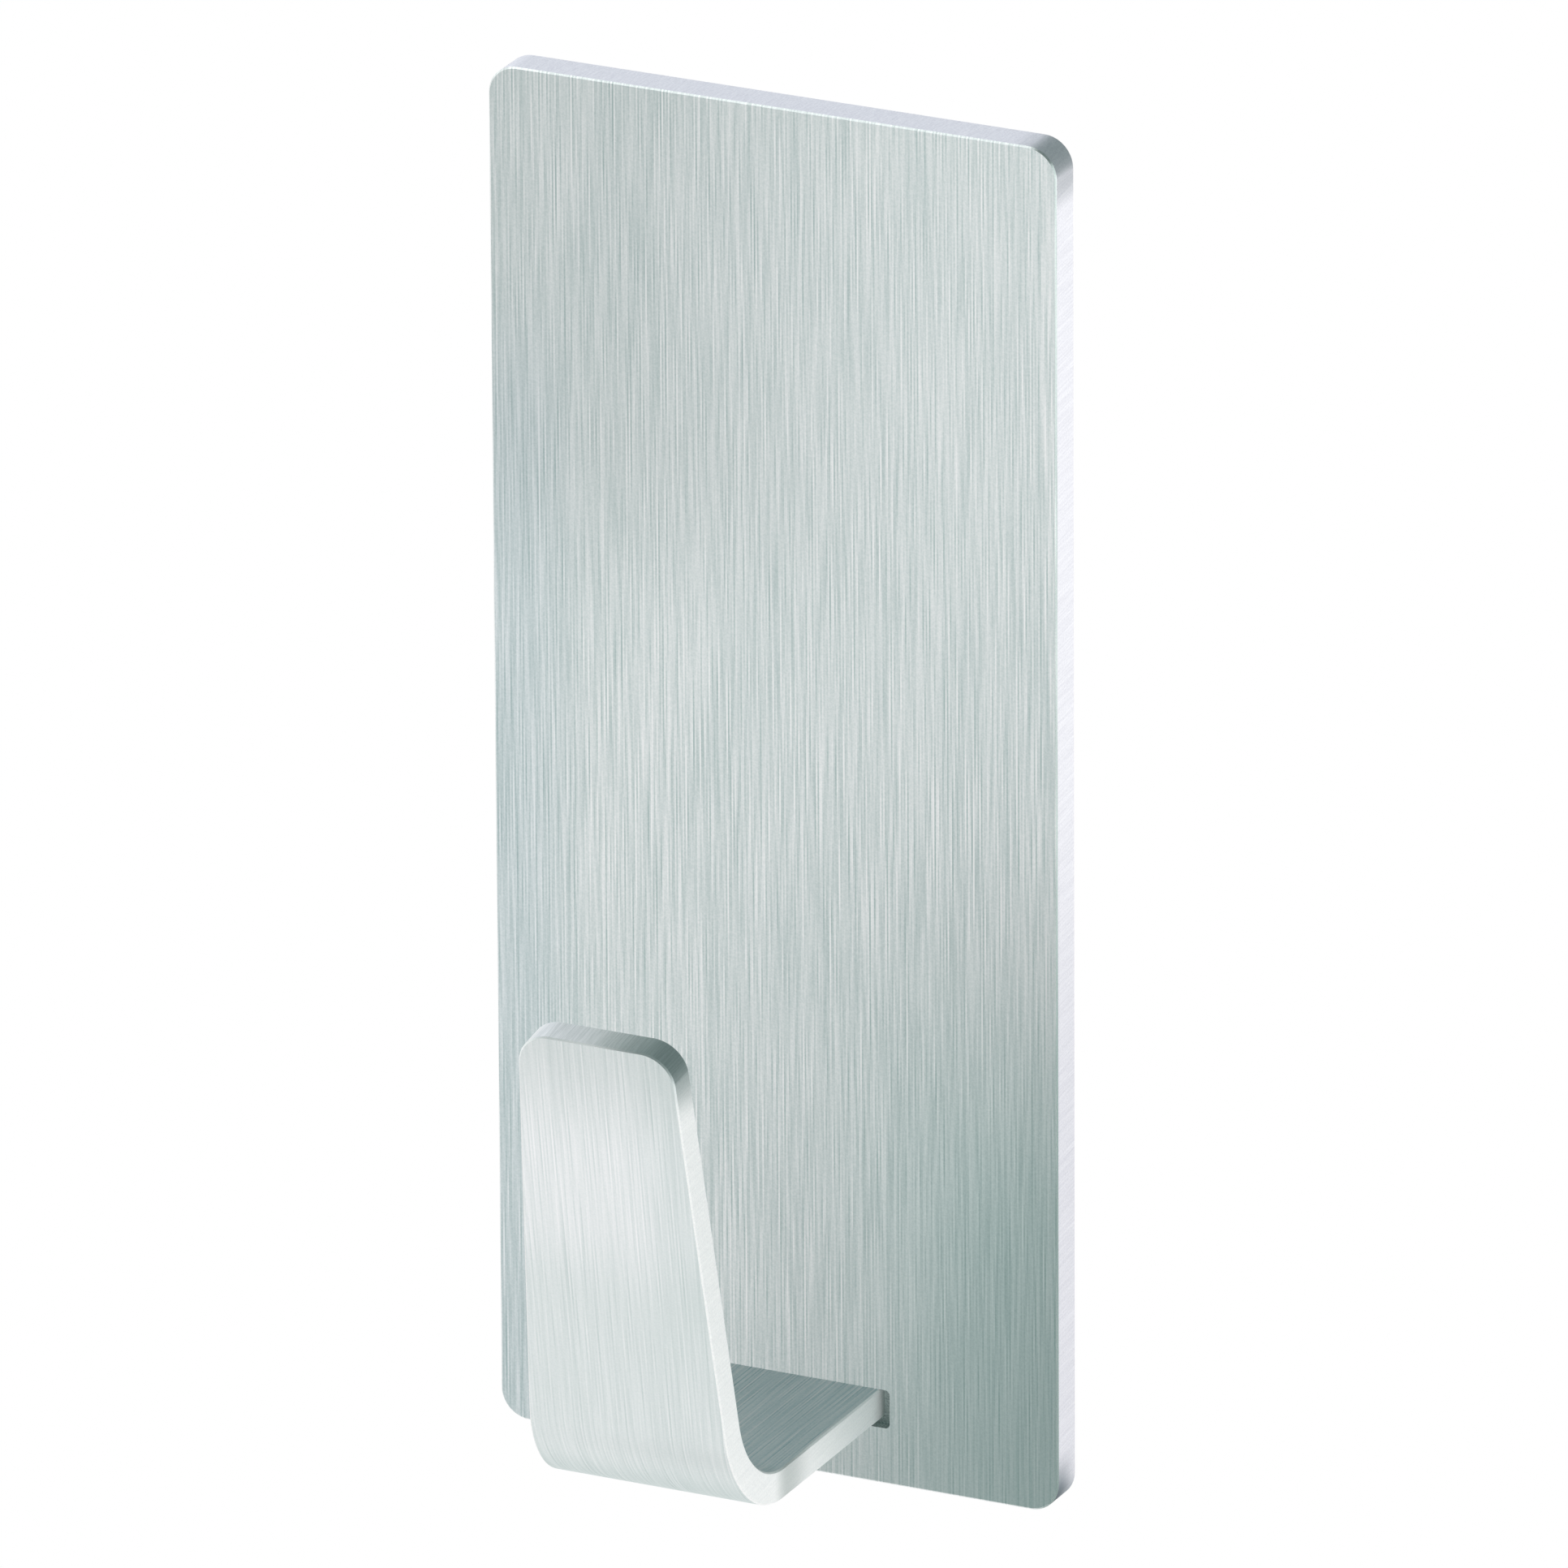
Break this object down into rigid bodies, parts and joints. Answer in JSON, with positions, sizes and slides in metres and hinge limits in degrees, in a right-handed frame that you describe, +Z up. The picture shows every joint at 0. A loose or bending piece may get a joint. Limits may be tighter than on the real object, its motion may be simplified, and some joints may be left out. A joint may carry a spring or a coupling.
{
  "type": "adhesive wall hook",
  "caption": "Stick-on wall hook: tall brushed steel plate with an adhesive pad behind, and a bent, tapering steel strip that comes out of a slot near the foot and turns up.",
  "frame": {"origin": "centre of the adhesive pad's wall face", "axes": "+Y into the wall, +Z up along the plate, the hook points to -Y, X across the plate"},
  "size_m": [0.03, 0.023, 0.07],
  "materials": {
    "plate_steel": "brushed along the plate's height",
    "hook_steel": "brushed along the strip",
    "weld_steel": "ground flush",
    "pad_foam": "closed-cell foam, tacky face"
  },
  "bodies": {
    "root": {"back_plate": "plate_steel", "hook": "hook_steel", "rear_weld": "weld_steel", "adhesive_pad": "pad_foam"}
  },
  "joints": []
}
